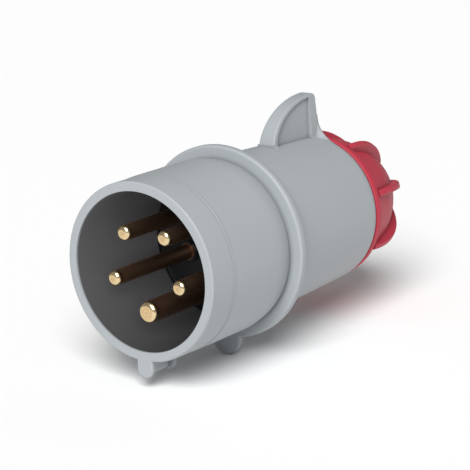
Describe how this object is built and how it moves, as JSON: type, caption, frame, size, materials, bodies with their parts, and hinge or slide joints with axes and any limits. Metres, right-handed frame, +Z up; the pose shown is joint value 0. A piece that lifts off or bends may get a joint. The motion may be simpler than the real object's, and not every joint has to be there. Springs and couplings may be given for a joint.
{
  "type": "industrial pin and sleeve plug",
  "caption": "Round industrial power plug: brass pins in a shroud, a tapered housing with a bayonet and a hook, and an eared cable gland nut.",
  "frame": {"origin": "on the plug's axis, in the plane of the rim of its mouth", "axes": "+Y along the plug's axis from the mouth to the cable end, +Z up through the hook, +X to the right as the mouth is seen"},
  "size_m": [0.0632, 0.1251, 0.0777],
  "materials": {
    "grey_polyamide": "fine moulded texture",
    "black_polyamide": "moulded, satin",
    "brass": "turned",
    "zinc_steel": "zinc plated",
    "black_rubber": "moulded",
    "white_acetal": "moulded, smooth",
    "red_polyamide": "moulded, satin"
  },
  "bodies": {
    "root": {"front_sleeve": "grey_polyamide", "pin_carrier": "black_polyamide", "earth_pin": "brass", "pin_l1": "brass", "pin_l2": "brass", "pin_l3": "brass", "pin_neutral": "brass", "terminal_screw_earth": "zinc_steel", "terminal_screw_l1": "zinc_steel", "terminal_screw_l2": "zinc_steel", "terminal_screw_l3": "zinc_steel", "terminal_screw_neutral": "zinc_steel", "pin_retainer": "black_polyamide", "retainer_screw_1": "zinc_steel", "retainer_screw_2": "zinc_steel", "retainer_screw_3": "zinc_steel", "housing_seal": "black_rubber"},
    "rear_housing": {"rear_housing": "grey_polyamide", "cable_seal": "black_rubber", "clamp_cage": "black_polyamide"},
    "gland_washer": {"gland_washer": "white_acetal"},
    "gland_nut": {"gland_nut": "red_polyamide"}
  },
  "joints": [
    {"name": "housing_turn", "type": "hinge", "parent": "root", "child": "rear_housing", "pos_m": [0, 0, 0], "axis": [0, 1, 0], "range_deg": [0, 30]},
    {"name": "washer_slide", "type": "slide", "parent": "rear_housing", "child": "gland_washer", "axis": [0, 1, 0], "range_m": [0, 0.00601]},
    {"name": "nut_turn", "type": "hinge", "parent": "gland_washer", "child": "gland_nut", "pos_m": [0, 0.1, 0], "axis": [0, 1, 0], "range_deg": [0, 540]}
  ],
  "couplings": [
    {"joint": "washer_slide", "follows": "nut_turn", "m_per_rad": 0.00063662}
  ]
}
